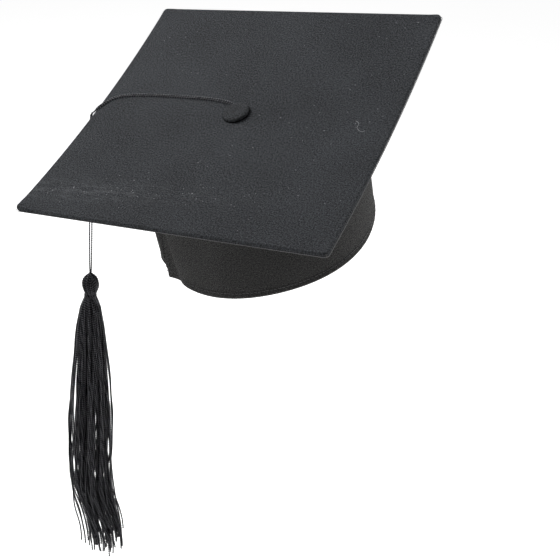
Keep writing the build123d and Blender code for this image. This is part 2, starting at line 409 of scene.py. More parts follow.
def yarn(name, dark, light, roughness, sheen=0.2, scale=1.0, shine=0.4, painted_groove_shade=0.1, painted_glint_pitch=0.0):
    """Spun filament yarn: fine fibres along each ply, painted shade darkening the inner side of each ply where it
    meets the others, painted highlights as bright dots along the outer crests when a dot pitch is given, and a
    broken shine.
    """
    shader = Shader(name, dark, roughness, Sheen_Weight=sheen, Sheen_Roughness=0.3,
                    Specular_IOR_Level=0.5, Anisotropic=0.2)
    uv = shader.uv()
    fibre = shader.node("ShaderNodeMapping", {"Vector": uv, "Scale": (260 * scale, 14, 1)}).outputs[0]
    fibres = shader.noise(fibre, 1.0, 3, 0.6)
    place = shader.place()
    patches = shader.noise(place, 120, 2, 0.5)
    color = shader.mix(shader.ramp(fibres, 0.3, 0.75), dark, light)
    lengthwise, around, _ = shader.node("ShaderNodeSeparateXYZ", {"Vector": uv}).outputs
    # painted shade: the inner side of each ply is drawn towards the dark colour times the shade factor; with a dot
    # pitch, only short spots on the outer side keep the fibre colour, as painted highlight dots
    painted_light_mask = shader.ramp(around, 0.40, 0.12)
    if painted_glint_pitch:
        wave = shader.math("SINE", shader.math("MULTIPLY", lengthwise, 2 * pi / painted_glint_pitch))
        painted_light_mask = shader.math("MULTIPLY", shader.ramp(wave, -0.5, 0.5), shader.ramp(around, 0.75, 0.4))
    shader.link(shader.mix(painted_light_mask, tuple(painted_groove_shade * part for part in dark), color), "Base Color")
    shader.link(shader.ramp(painted_light_mask, 0.0, 1.0, shine * painted_groove_shade, shine), "Specular IOR Level")
    shader.link(shader.bump(fibres, 0.5, 0.00012), "Normal")
    shader.link(shader.ramp(patches, 0.3, 0.7, roughness - 0.08, roughness + 0.12), "Roughness")
    return shader.material


def grained(name, dark, light, roughness, scale, depth, metallic=0.0, stretch=(1, 1, 1)):
    """A plain material broken up by noise in the object's own place."""
    shader = Shader(name, dark, roughness, Metallic=metallic)
    place = shader.node("ShaderNodeMapping", {"Vector": shader.place(), "Scale": stretch}).outputs[0]
    grain = shader.noise(place, scale, 5, 0.65)
    shader.link(shader.mix(shader.ramp(grain, 0.35, 0.65), dark, light), "Base Color")
    shader.link(shader.bump(grain, 0.4, depth), "Normal")
    shader.link(shader.ramp(grain, 0.3, 0.7, roughness - 0.1, roughness + 0.1), "Roughness")
    return shader.material


board_cloth = cloth("board_cloth", (0.0042, 0.0048, 0.0057), (0.0365, 0.0395, 0.0445),
                    specks=0.8, dusty=True)
under_cloth = cloth("under_cloth", (0.0075, 0.0076, 0.0082), (0.019, 0.0192, 0.0205))
crown_cloth = cloth("crown_cloth", (0.0018, 0.0017, 0.0017), (0.0125, 0.0122, 0.0122),
                    tint=(1.0, 0.98, 0.95), specks=0.5)
lining_cloth = cloth("lining_cloth", (0.008, 0.008, 0.0085), (0.018, 0.018, 0.019), thread=0.00035)
button_cloth = cloth("button_cloth", (0.0042, 0.0046, 0.0052), (0.028, 0.0298, 0.0325))
# the yarns below darken the inner side of their plies as painted shade, the smaller the shade factor the darker;
# the cord and tassel also carry painted highlight dots along their plies, and the cord's lighter colour is raised
# for those dots
cord_yarn = yarn("cord_yarn", (0.016, 0.016, 0.018), (0.26, 0.26, 0.29), 0.3, sheen=0.0, shine=0.5,
                 painted_groove_shade=0.02, painted_glint_pitch=0.0021)
tassel_yarn = yarn("tassel_yarn", (0.020, 0.020, 0.0225), (0.135, 0.135, 0.152), 0.3, sheen=0.0,
                   shine=0.22, painted_groove_shade=0.03, painted_glint_pitch=0.0021)
thread = yarn("sewing_thread", (0.11, 0.11, 0.112), (0.26, 0.26, 0.262), 0.5, scale=2.0, painted_groove_shade=0.8)
# near-black yarn for the ring of painted shade under the button's rim
painted_shade_thread = yarn("painted_shade_thread", (0.0008, 0.0008, 0.001), (0.004, 0.004, 0.0045), 0.6, sheen=0.0,
                    shine=0.1)
# seam thread: a real seam, drawn paler than it is as a painted highlight along the board's edge
seam_thread_painted_highlight = yarn("seam_thread_painted_highlight", (0.10, 0.10, 0.105), (0.30, 0.30, 0.31), 0.5, scale=2.0, painted_groove_shade=0.8)
lint_fibre = grained("lint_fibre", (0.42, 0.43, 0.45), (0.7, 0.7, 0.72), 0.8, 900, 0.0001)
card = grained("card", (0.25, 0.22, 0.185), (0.42, 0.385, 0.34), 0.9, 600, 0.0002)
buckram = grained("buckram", (0.36, 0.34, 0.29), (0.58, 0.55, 0.49), 0.9, 1500, 0.0003)
label_tape = grained("label_tape", (0.55, 0.545, 0.52), (0.74, 0.73, 0.70), 0.7, 1400, 0.0001)
plated = grained("plated", (0.42, 0.42, 0.43), (0.62, 0.62, 0.63), 0.35, 300, 0.00003, metallic=1.0)


# ---- Board -------------------------------------------------------------------------------

def board_outline(side, corner, per_side=110, per_corner=14):
    """A rounded square's points and outward directions, anticlockwise."""
    flat = side / 2 - corner
    spots = []
    ways = []
    for quarter in range(4):
        angle = quarter * pi / 2
        turn = np.array([[cos(angle), -sin(angle)], [sin(angle), cos(angle)]])
        for k in range(per_side):
            spots.append(turn @ (flat + corner, -flat + 2 * flat * k / per_side))
            ways.append(turn @ (1.0, 0.0))
        for k in range(per_corner):
            bend = pi / 2 * k / per_corner
            spots.append(turn @ (flat + corner * cos(bend), flat + corner * sin(bend)))
            ways.append(turn @ (cos(bend), sin(bend)))
    return np.array(spots), np.array(ways)


def board_surface(x, y, seed):
    """The cloth's own small unevenness over the card."""
    slow = waves(x * 0.9 + y * 0.35, seed, 3, 0.02, 0.06) * waves(y, seed + 1, 3, 0.02, 0.05)
    quick = waves(x, seed + 2, 4, 0.09, 0.2) * waves(y, seed + 3, 4, 0.09, 0.2)
    return 0.35 * slow + 0.12 * quick


def corner_bunch(x, y):
    """Cloth folded into the corners stands proud of the rest."""
    total = np.zeros_like(x)
    corners = ((-1, -1, 1.0, 8.5), (1, 1, 0.8, 4.5), (-1, 1, 0.4, 7.0), (1, -1, 0.3, 4.0))
    for side_x, side_y, height, width in corners:
        away = np.hypot(x - side_x * (HALF - 3), y - side_y * (HALF - 3))
        crease = 1 + 0.16 * np.sin((x * side_x - y * side_y) * 0.8 + 1.1)
        total = total + height * np.exp(-(away / width) ** 2) * crease
    return total


def board_cover(name, material, upward, seed):
    """One face of the board's cover, rolled over the edge to the seam half way down."""
    bend = 1.3
    reach = BOARD_THICK / 2 - 0.12
    spots, ways = board_outline(BOARD_SIDE - 2 * bend, 2.2)
    shares = np.concatenate([np.linspace(0.015, 0.94, 70), np.linspace(0.944, 1.0, 15)])
    rows = []
    uvs = []
    for share in shares:
        x, y = (spots * share).T
        calm = smoothstep(1.0, 0.93, share)
        height = cloth_height(x, y) + board_surface(x, y, seed) * calm
        # pulled tight over the card's edge, the cloth dips just inside the roll
        inside = HALF - np.maximum(np.abs(x), np.abs(y))
        near = smoothstep(-HALF + 12, -HALF + 2, y) + 0.35 * smoothstep(HALF - 12, HALF - 2, x)
        height = height - 0.16 * near * np.exp(-((inside - 2.2) / 0.5) ** 2)
        if upward:
            height = height + corner_bunch(x, y)
        else:
            height = height - BOARD_THICK - 0.5 * corner_bunch(x, y)
        rows.append(np.stack([x, y, height], 1))
        uvs.append(np.stack([x, y], 1) * MM)
    steps = 7
    way = 1 if upward else -1
    for step in range(1, steps + 1):
        turn = pi / 2 * step / steps
        out = bend * sin(turn)
        drop = min(bend * (1 - cos(turn)), reach)
        x, y = (spots + ways * out).T
        bunch = corner_bunch(x, y) * (1 - step / steps)
        base = cloth_height(x, y) + (bunch if upward else -BOARD_THICK - 0.5 * bunch)
        rows.append(np.stack([x, y, base - way * drop], 1))
        uvs.append((spots + ways * bend * turn) * MM)
    # the seam allowance tucks in a little between the two plies
    x, y = (spots + ways * (bend - 0.7)).T
    base = cloth_height(x, y) - (0 if upward else BOARD_THICK)
    rows.append(np.stack([x, y, base - way * (reach - 0.02)], 1))
    uvs.append((spots + ways * (bend * pi / 2 + 0.7)) * MM)
    columns = len(spots)
    faces = grid_faces(len(rows), columns, closed=True, flip=not upward)
    centre = len(rows) * columns
    points = np.concatenate(rows)
    middle = (0.0, 0.0, float(cloth_height(0, 0)) - (0 if upward else BOARD_THICK))
    points = np.concatenate([points, [middle]])
    uvs = np.concatenate(uvs + [np.zeros((1, 2))])
    for column in range(columns):
        fan = (centre, column, (column + 1) % columns)
        faces.append(fan if upward else fan[::-1])
    piece = mesh_object(name, placed(BOARD, points), faces, uvs, material)
    return thicken(piece, 0.35)


def board_card(name, material):
    """The stiff card inside the covers, with the same dish and warp."""
    steps = 24
    line = np.linspace(-HALF + 0.8, HALF - 0.8, steps + 1)
    x, y = (part.ravel() for part in np.meshgrid(line, line))
    height = cloth_height(x, y)
    upper = np.stack([x, y, height - 0.5], 1)
    lower = np.stack([x, y, height - 2.5], 1)
    side = steps + 1
    count = side * side
    faces = grid_faces(side, side) + grid_faces(side, side, start=count, flip=True)
    rim = [k for k in range(steps)] + [steps + side * k for k in range(steps)]
    rim += [count - 1 - k for k in range(steps)] + [side * (steps - k) for k in range(steps)]
    for here, after in zip(rim, rim[1:] + rim[:1]):
        faces.append((here, here + count, after + count, after))
    uvs = np.concatenate([np.stack([x, y], 1) * MM] * 2)
    points = placed(BOARD, np.concatenate([upper, lower]))
    return mesh_object(name, points, faces, uvs, material, smooth=False)


def edge_seam(name, material):
    """The line of thread that closes the two covers along the board's edge; its pale colour is partly the thread's
    own and partly a painted highlight, the light caught along the board's edge.
    """
    spots, _ = board_outline(BOARD_SIDE + 1.1, 2.8)
    x, y = spots.T
    line = np.stack([x, y, cloth_height(x, y) - BOARD_THICK * 0.8], 1)
    line = np.concatenate([line, line[:2]])
    bundle = Bundle()
    bundle.twisted(placed(BOARD, line), 0.3 * MM, 2, 3.0 * MM, sides=4, step=0.5 * MM)
    return bundle.build(name, material)


# ---- Button ------------------------------------------------------------------------------

def button(name, material):
    """Cloth pulled over a domed shell and gathered in under its edge."""
    profile = [(0.0, 2.3), (1.6, 2.33), (3.2, 2.36), (4.8, 2.33), (6.2, 2.22), (7.5, 2.02), (8.6, 1.72),
               (9.3, 1.35), (9.6, 1.0), (9.7, 0.55), (9.5, 0.0), (8.6, -0.3), (6.9, -0.35), (5.4, -0.3)]
    fine = []
    for first, second in zip(profile, profile[1:]):
        for part in (0, 1 / 3, 2 / 3):
            fine.append([a + (b - a) * part for a, b in zip(first, second)])
    fine.append(profile[-1])
    columns = 96
    angles = np.arange(columns) * 2 * pi / columns
    points = []
    uvs = []
    for radius, height in fine[1:]:
        pleat = 0.16 * smoothstep(8.2, 9.3, radius) + (0.35 if height <= 0.05 and radius < 9.3 else 0)
        wobble = 1 + 0.006 * np.sin(3 * angles + 0.6) + 0.004 * np.sin(5 * angles)
        rim = radius * wobble + pleat * (np.sin(angles * 17) + 0.6 * np.sin(angles * 29 + 1)) * 0.35
        sag = 0.12 * np.cos(angles * 2 + 1.0) * (radius / 9.5) ** 2
        points.append(np.stack([rim * np.cos(angles), rim * np.sin(angles), height + sag], 1))
        uvs.append(np.stack([rim * np.cos(angles), rim * np.sin(angles)], 1) * MM)
    rows = len(points)
    faces = grid_faces(rows, columns, closed=True, flip=False)
    points = np.concatenate(points + [[(0, 0, profile[0][1])]])
    uvs = np.concatenate(uvs + [np.zeros((1, 2))])
    for column in range(columns):
        faces.append((rows * columns, column, (column + 1) % columns))
    piece = mesh_object(name, placed(button_frame(), points), faces, uvs, material)
    return thicken(piece, 0.3)


def button_painted_shade_ring(name, material):
    """A near-black ring of yarn just outside and below the button's rim: painted shade, standing in for the
    shadowed gap under the rim.
    """
    angles = np.linspace(0, 2 * pi, 121)
    radius = 10.0 + 0.1 * np.sin(17 * angles)
    line = np.stack([radius * np.cos(angles), radius * np.sin(angles), -0.2 + 0.08 * np.sin(5 * angles)], 1)
    bundle = Bundle()
    bundle.twisted(placed(button_frame(), line), 0.55 * MM, 2, 2.2 * MM, sides=5, step=0.3 * MM)
    return bundle.build(name, material)


def button_frame():
    """The button's own frame: its rim's middle, shifted and tilted a little towards the cord."""
    base = float(cloth_height(*BUTTON_AT)) + BUTTON_NECK
    place = Matrix.Translation((BUTTON_AT[0] - 2.2, BUTTON_AT[1] + 1.4, base - 0.9))
    return BOARD @ place @ Matrix.Rotation(radians(BUTTON_TILT), 4, (0.35, -0.94, 0))


def button_back(name, material):
    """The pressed plate that clamps the cloth under the button."""
    columns = 48
    angles = np.arange(columns) * 2 * pi / columns
    outline = [(0.01, 0.75), (5.2, 0.75), (5.6, 0.45), (5.6, -0.15), (5.2, -0.3), (2.6, -0.35), (2.2, -0.7),
               (0.01, -0.7)]
    points = [np.stack([radius * np.cos(angles), radius * np.sin(angles), np.full(columns, height)], 1)
              for radius, height in outline]
    faces = grid_faces(len(outline), columns, closed=True, flip=True)
    return mesh_object(name, placed(button_frame(), np.concatenate(points)), faces, None, material)


# ---- Crown -------------------------------------------------------------------------------

def oval_spot(around, radius):
    """A point of the crown's oval and its outward direction; around is in millimetres of the
    base oval from the front, towards the wearer's right."""
    quarter = pi / 2 * RIM_RADIUS
    total = 4 * quarter + 2 * OVAL_STRAIGHT
    around = around % total
    half = OVAL_STRAIGHT / 2
    if around < quarter:
        angle = around / RIM_RADIUS
        way = (-sin(angle), -cos(angle))
        return (radius * way[0], -half + radius * way[1]), way
    if around < quarter + OVAL_STRAIGHT:
        return (-radius, -half + around - quarter), (-1.0, 0.0)
    if around < 3 * quarter + OVAL_STRAIGHT:
        angle = (around - quarter - OVAL_STRAIGHT) / RIM_RADIUS
        way = (-cos(angle), sin(angle))
        return (radius * way[0], half + radius * way[1]), way
    if around < 3 * quarter + 2 * OVAL_STRAIGHT:
        return (radius, half - (around - 3 * quarter - OVAL_STRAIGHT)), (1.0, 0.0)
    angle = (total - around) / RIM_RADIUS
    way = (sin(angle), -cos(angle))
    return (radius * way[0], -half + radius * way[1]), way


QUARTER = pi / 2 * RIM_RADIUS
TOP_EDGE = BOARD_AT[2] - BOARD_THICK
OVAL_LENGTH = 4 * QUARTER + 2 * OVAL_STRAIGHT


def elastic_share(around):
    """1 where the elastic gathers the back, 0 round the front."""
    right = smoothstep(QUARTER + 22, QUARTER + OVAL_STRAIGHT + 45, around)
    left = smoothstep(OVAL_LENGTH - QUARTER - 5, OVAL_LENGTH - QUARTER - OVAL_STRAIGHT - 30, around)
    return min(float(right), float(left))


def rim_height(turn, around):
    """The worn rim's height above the plane of the head opening; the elastic draws up the back."""
    level = -1.4 + 1.2 * cos(turn) - 1.8 * sin(turn) - 2.4 * cos(2 * turn)
    return level + 7.0 * elastic_share(around)


def side_fold(around, share):
    """The crease that stands where the stiff front ends, on the wearer's right, and its valley."""
    away = around - (QUARTER - 2 + 20 * share)
    crease = 2.8 * np.exp(-abs(away) / 3.2) - 1.7 * np.exp(-((away + 10) / 5.5) ** 2)
    soft = 1.2 * np.exp(-((away - 22) / 8.0) ** 2) - 1.4 * np.exp(-((away - 9) / 5.0) ** 2)
    return float((crease + soft) * (0.25 + 0.75 * smoothstep(1.0, 0.45, share)))


def crown_spot(around, share, inset):
    """A point on the crown's cloth: share is 0 at the rim and 1 under the board."""
    (x, y), way = oval_spot(around, RIM_RADIUS)
    turn = atan2(y / (RIM_RADIUS + OVAL_STRAIGHT / 2), x / RIM_RADIUS)
    low = rim_height(turn, around % OVAL_LENGTH)
    top = BOARD_AT[2] - BOARD_THICK
    height = low + (top - low) * share
    uneven = 1 + (2.7 * sin(2 * turn) - 4.3 * cos(3 * turn) - 1.2 * sin(3 * turn)) / 90 * (1 - share)
    middle_x, middle_y, wide, long = (a + (b - a) * share for a, b in zip(RIM_OVAL, TOP_OVAL))
    bulge = 1.4 * sin(pi * share) ** 0.8 if 0 < share < 1 else 0.0
    gathers = elastic_share(around % OVAL_LENGTH)
    ruffle = float(waves(around, 31, 3, 0.34, 0.62)) * 2.6 * gathers * (1 - share) ** 1.4
    slack = float(waves(around, 57, 3, 0.035, 0.085)) * 1.2 * sin(pi * share) * (0.3 + gathers)
    dent = float(waves(around + 60 * share, 91, 3, 0.02, 0.05)) * 0.5 * float(share < 0.98)
    out = bulge + ruffle + slack + dent + side_fold(around, share) - inset
    x = middle_x + wide * cos(turn) * uneven + way[0] * out
    y = middle_y + long * sin(turn) * uneven + way[1] * out
    return x, y, height


def under_board_height(x, y):
    """Height of the board's underside over a point of the cap frame."""
    local = Matrix.Rotation(radians(45), 2) @ Vector((x - BOARD_AT[0], y - BOARD_AT[1]))
    return BOARD_AT[2] + float(cloth_height(local.x, local.y)) - BOARD_THICK


def crown_sheet(name, material, start, end, low, high, inset, thickness, step=2.0, hem=False):
    """A stretch of the crown's wall, from start to end round it and low to high up it."""
    columns = int((end - start) / step) + 1
    rows = max(6, int((high - low) / 2.0) + 1)
    points = []
    uvs = []
    shares = list(np.linspace(0, 1, rows))
    for level in shares:
        for column in range(columns):
            around = start + (end - start) * column / (columns - 1)
            height = low + (high - low) * level
            x, y, z = crown_spot(around, height / TOP_EDGE, inset)
            limit = under_board_height(x, y) - 0.3
            z = min(z, limit)
            if hem:
                # the hem swells between its fold and its row of stitches
                puff = 0.75 * np.exp(-((height - 2.2) / 1.7) ** 2)
                pinch = -0.5 * np.exp(-((height - STITCH_HEIGHT) / 0.8) ** 2)
                pull = 0.18 * sin(2 * pi * around / STITCH_PITCH) * np.exp(-((height - 4) / 3) ** 2)
                _, way = oval_spot(around, 1)
                x += way[0] * (puff + pinch + pull)
                y += way[1] * (puff + pinch + pull)
            points.append((x, y, z))
            uvs.append((around * MM, height * MM))
    faces = grid_faces(rows, columns, flip=True)
    piece = mesh_object(name, placed(CAP, points), faces, uvs, material)
    return thicken(piece, thickness, offset=-1.0)


def crown_top(name, material):
    """The crown's own top, flat under the board."""
    count = 220
    shells = 26
    points = []
    uvs = []
    for shell in range(1, shells + 1):
        for k in range(count):
            x, y, _ = crown_spot(OVAL_LENGTH * k / count, 1.0, 1.6)
            x = TOP_OVAL[0] + (x - TOP_OVAL[0]) * shell / shells
            y = TOP_OVAL[1] + (y - TOP_OVAL[1]) * shell / shells
            pucker = 0.5 * waves(x * 0.1 + y * 0.07, 12, 2, 0.4, 1.1) - 0.6
            points.append((x, y, under_board_height(x, y) + float(pucker) - 0.3))
            uvs.append((x * MM, y * MM))
    points.append((TOP_OVAL[0], TOP_OVAL[1], under_board_height(*TOP_OVAL[:2]) - 1.2))
    uvs.append((0, 0))
    faces = grid_faces(shells, count, closed=True)
    for k in range(count):
        faces.append((shells * count, k, (k + 1) % count))
    piece = mesh_object(name, placed(CAP, points), faces, uvs, material)
    return thicken(piece, 0.5, offset=0)


def stitch_row(name, material, start, end, height, inset, pitch, length, radius):
    """Separate stitches that dip into the cloth at each end."""
    bundle = Bundle()
    count = int((end - start) / pitch)
    for index in range(count):
        middle = start + pitch * (index + 0.5) + chance.uniform(-0.12, 0.12)
        size = length * chance.uniform(0.86, 1.08)
        rise = height + chance.uniform(-0.12, 0.12)
        line = []
        for part in np.linspace(-0.5, 0.5, 7):
            around = middle + size * part
            x, y, z = crown_spot(around, rise / TOP_EDGE, inset)
            _, way = oval_spot(around, 1)
            out = 0.12 - 1.6 * part ** 2
            line.append((x + way[0] * out, y + way[1] * out, z + 0.25 * part))
        bundle.tube(placed(CAP, line), radius * MM, 6, np.linspace(0, size * MM, 7))
    return bundle.build(name, material)


# ---- Cord --------------------------------------------------------------------------------

def beside(route, side):
    """The strand beside the pair's middle line."""
    strand = []
    ends = [route[0]] + route + [route[-1]]
    for before, at, after in zip(ends, route, ends[2:]):
        along = Vector((after[0] - before[0], after[1] - before[1])).normalized()
        strand.append((at[0] - side * along.y * STRAND_APART, at[1] + side * along.x * STRAND_APART))
    return strand


def edge_direction():
    along = on_board(EDGE_AT[0], 0, 0) - on_board(EDGE_AT[0], 50, 0)
    return Vector((along.x, along.y, 0)).normalized()


def strand_points(side):
    """From behind the shank, over the board and its edge, down to the tassel, in metres."""
    centre = Vector(BUTTON_AT)
    away = (Vector(CORD_ROUTE[0]) - centre).normalized()
    left = Vector((-away.y, away.x)) * side
    turn = [centre - away * LOOP_RADIUS, centre + (left - away) * LOOP_RADIUS]
    settled = [(x + EDGE_SETTLE * float(smoothstep(-104, -119, x)), y) for x, y in CORD_ROUTE]
    spots = [tuple(spot) for spot in turn] + beside(settled, side)
    points = [on_board(x, y, CORD_LIFT) for x, y in spots]
    points.append(on_board(-120.9, -6.2, 0.3))
    edge = Vector((pivots["cord_swing"].x, pivots["cord_swing"].y, 0))
    edge.z = pivots["tassel_swing"].z + (TASSEL_TOP - 0.6) * MM
    inward = (on_board(0, EDGE_AT[1], 0) - on_board(EDGE_AT[0], EDGE_AT[1], 0)).normalized() * MM
    apart = edge_direction() * STRAND_APART * MM * side
    for down, turned, spread in ((0, 0, 1.0), (7, 0, 1.0), (30, -18, 1.0), (60, -44, 1.05), (90, -62, 1.1),
                                 (118, -68, 1.05), (133, -68, 0.9), (140, -68, 0.65), (144, -68, 0.6)):
        away = Matrix.Rotation(radians(turned), 3, "Z") @ apart
        snug = Vector((inward.x, inward.y, 0)) * EDGE_SNUG * (1 - down / 144)
        points.append(edge + away * spread + snug - Vector((0, 0, down * MM)))
    return points


def strand(name, side, material):
    line = nurbs_line(name + "_line", strand_points(side))
    bundle = Bundle()
    bundle.twisted(line, STRAND * MM, 2, 4.2 * MM, sides=7, step=0.2 * MM, start_angle=side)
    piece = bundle.build(name, material)
    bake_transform(piece)
    return piece


# ---- Tassel ------------------------------------------------------------------------------

def tassel_middle(down):
    """The tassel's middle line: it hangs straight, and its loose ends have dried with a curl."""
    edge = pivots["tassel_swing"]
    curl = 7.5 * smoothstep(205, 292, down) ** 1.3
    return np.array([edge.x / MM + curl * 0.92, edge.y / MM - curl * 0.38, edge.z / MM + 0.6 - down])


def turned_radius(outline, down):
    return np.interp(down, [d for d, _ in outline], [r for _, r in outline])


def tassel_head(name, material):
    """Yarns laid side by side over the knot, drawn in at the neck."""
    bundle = Bundle()
    count = 27
    downs = np.concatenate([np.linspace(2.8, 6.2, 9), np.linspace(6.8, HEAD_LENGTH + 1.5, 26)])
    for index in range(count):
        angle = 2 * pi * index / count + chance.uniform(-0.03, 0.03)
        lean = chance.uniform(-0.12, 0.12)
        line = []
        for down in downs:
            radius = turned_radius(HEAD, down) - 0.8 + 0.2 * sin(index * 2.4)
            turn = angle + lean * down / HEAD_LENGTH + 0.3 * down / HEAD_LENGTH
            middle = tassel_middle(0)
            line.append((middle[0] + radius * cos(turn), middle[1] + radius * sin(turn), middle[2] - down))
        bundle.twisted(np.array(line) * MM, 0.85 * MM, 2, 4.6 * MM, sides=6, step=0.35 * MM,
                       start_angle=chance.uniform(0, 6))
    downs = np.linspace(3.0, HEAD_LENGTH, 24)
    core = [tassel_middle(0) - (0, 0, down) for down in downs]
    radii = [max(turned_radius(HEAD, down) - 1.1, 0.4) for down in downs]
    bundle.tube(np.array(core) * MM, np.array(radii) * MM, 40)
    # the cord's two strands are bound together just above the head
    binding = [tassel_middle(0) - (0, 0, down) for down in np.linspace(0.2, 4.0, 14)]
    bundle.twisted(np.array(binding) * MM, 0.95 * MM, 3, 3.0 * MM, sides=6, step=0.3 * MM)
    return bundle.build(name, material)


def neck_wrap(name, material):
    """A thread wound round the neck."""
    turns = 5.6
    steps = 260
    line = []
    for step in range(steps + 1):
        part = step / steps
        angle = 2 * pi * turns * part
        middle = tassel_middle(0)
        down = HEAD_LENGTH + 0.4 + (WRAP_LENGTH - 1.6) * part
        radius = WRAP_RADIUS - 1.0 + 0.1 * sin(5 * angle)
        line.append((middle[0] + radius * cos(angle), middle[1] + radius * sin(angle), middle[2] - down))
    bundle = Bundle()
    bundle.twisted(np.array(line) * MM, 0.44 * MM, 2, 1.6 * MM, sides=6, step=0.3 * MM)
    # the winding's knot, on the side that the wearer's right shows
    knot = []
    for part in np.linspace(0, 1, 30):
        angle = radians(-118) + 0.13 * sin(2 * pi * part) + 0.03 * sin(6 * pi * part)
        radius = WRAP_RADIUS - 0.2 + 0.35 * sin(4 * pi * part)
        middle = tassel_middle(0)
        knot.append((middle[0] + radius * cos(angle), middle[1] + radius * sin(angle),
                     middle[2] - HEAD_LENGTH - 1.4 - 1.2 * cos(2 * pi * part) * 0.9))
    bundle.twisted(np.array(knot) * MM, 0.42 * MM, 2, 1.6 * MM, sides=6, step=0.3 * MM)
    ends = (HEAD_LENGTH - 0.5, HEAD_LENGTH + WRAP_LENGTH + 0.5)
    plug = [tassel_middle(0) - (0, 0, down) for down in ends]
    plug.insert(1, (plug[0] + plug[1]) / 2)
    bundle.tube(np.array(plug) * MM, 4.3 * MM, 36)
    return bundle.build(name, material)


def skirt_yarn(angle, layer, length, bow, seed):
    """One hanging yarn's line, millimetres: it waves, leaves the bundle by bow, and curls at its end."""
    start = HEAD_LENGTH + WRAP_LENGTH - 1.6
    source = random.Random(seed)
    drift = source.gauss(0, 0.22)
    phases = [source.uniform(0, 2 * pi) for _ in range(6)]
    pace = [source.uniform(0.018, 0.05) for _ in range(6)]
    crimp = source.uniform(0.15, 0.5)
    curl = source.uniform(0.2, 2.2)
    high = source.uniform(30, 110)
    line = []
    for down in np.arange(0, length, 2.5):
        loose = smoothstep(6, 170, down)
        radius = turned_radius(SKIRT, down) * (layer + (1 - layer) * 0.35 * (1 - loose)) - 0.75
        radius += bow * smoothstep(0, high, down) * smoothstep(length + 10, length - 90, down)
        radius += 1.3 * loose * sin(down * pace[0] + phases[0])
        turn = angle + drift * down / 180 + 0.07 * loose * sin(down * pace[1] + phases[1])
        middle = tassel_middle(start + down)
        end = 5.2 * curl * smoothstep(length - 95, length + 5, down) ** 1.4
        sway = crimp * loose * sin(down * 4 * pace[4] + phases[4])
        stray_x = 0.9 * loose * sin(down * pace[2] + phases[2])
        stray_y = 0.9 * loose * sin(down * pace[3] + phases[3])
        line.append((middle[0] + radius * cos(turn) + stray_x + end + sway,
                     middle[1] + radius * sin(turn) + stray_y - 0.4 * end,
                     middle[2]))
    return np.array(line)


def tassel_skirt(name, material):
    """The hanging bundle: an outer layer of twisted yarns over a fuller inside."""
    bundle = Bundle()
    outer = 46
    step = 0.55
    for index in range(outer):
        angle = 2 * pi * index / outer + chance.uniform(-0.06, 0.06)
        length = SKIRT[-1][0] - chance.uniform(0, 12) + 2 * cos(angle)
        bow = chance.choice([0, 0, -0.8, 0.8, -1.6, 1.4])
        if abs(sin(angle + radians(22))) < 0.35 and index % 2:
            bow = chance.uniform(1.6, 4.0)
        line = skirt_yarn(angle, chance.uniform(0.86, 1.0), length, bow, index)
        bundle.twisted(line * MM, 0.9 * MM, 2, chance.uniform(4.3, 5.1) * MM, sides=6, step=step * MM,
                       start_angle=chance.uniform(0, 6), ease=2 * MM)
    for layer, count in ((0.72, 38), (0.45, 22), (0.18, 8)):
        for index in range(count):
            angle = 2 * pi * index / count + chance.uniform(-0.1, 0.1)
            length = SKIRT[-1][0] - chance.uniform(0, 14)
            depth = layer + chance.uniform(-0.06, 0.06)
            line = skirt_yarn(angle, depth, length, 0, 500 + 50 * count + index)
            bundle.twisted(line * MM, 0.95 * MM, 2, 4.4 * MM, sides=4, step=2 * step * MM,
                           start_angle=chance.uniform(0, 6), ease=2 * MM)
    return bundle.build(name, material)


# ---- Lint --------------------------------------------------------------------------------

def lint(name, material, count):
    """Short pale fibres lying on the board's cloth."""
    bundle = Bundle()
    for index in range(count):
        if index % 3:
            x, y = chance.uniform(-112, 112), chance.uniform(-112, 112)
        else:
            x = chance.uniform(-108, 80)
            y = -84 + 0.09 * x + chance.gauss(0, 6)
        length = chance.uniform(0.5, 1.5)
        angle = chance.uniform(0, 2 * pi)
        curl = chance.uniform(-1.6, 1.6)
        line = []
        for part in np.linspace(0, 1, 6):
            angle += curl / 6
            x += length / 6 * cos(angle)
            y += length / 6 * sin(angle)
            line.append((x, y, float(cloth_height(x, y)) + 0.22 + 0.25 * sin(pi * part)))
        bundle.tube(placed(BOARD, line), chance.uniform(0.05, 0.12) * MM, 4)
    curls = [(92.0, 7.0), (94.2, 6.4), (96.0, 3.8), (95.0, 1.0), (97.0, -1.6), (100.0, -3.4), (102.4, -2.2)]
    curly = nurbs_line("curly", [on_board(x, y, 0.5) for x, y in curls])
    bundle.tube(curly, 0.07 * MM, 5)
    return bundle.build(name, material)


# ---- Put together ------------------------------------------------------------------------

def finish_piece(piece, body, slot, *nodes):
    if body:
        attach(piece, body)
    if nodes:
        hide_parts(*nodes)
    return piece


top_cover = finish_piece(board_cover("top_cover", board_cloth, True, 3), "cap", "board_cloth",
                         "board_top_cover")
finish_piece(board_card("card_core", card), "cap", "card", "board_core")
bottom_cover = finish_piece(board_cover("bottom_cover", under_cloth, False, 9), "cap", "board_cloth",
                            "board_bottom_cover")
# the seam line, whose pale colour is partly painted highlight
finish_piece(edge_seam("edge_seam", seam_thread_painted_highlight), "cap", "thread")
finish_piece(button("covered_button", button_cloth), "cap", "board_cloth", "button_cover",
             "button_shell")
# the ring of painted shade under the button's rim
finish_piece(button_painted_shade_ring("button_painted_shade_ring", painted_shade_thread), "cap", "board_cloth")
finish_piece(button_back("back_plate", plated), "cap", "button_metal", "button_back_plate")

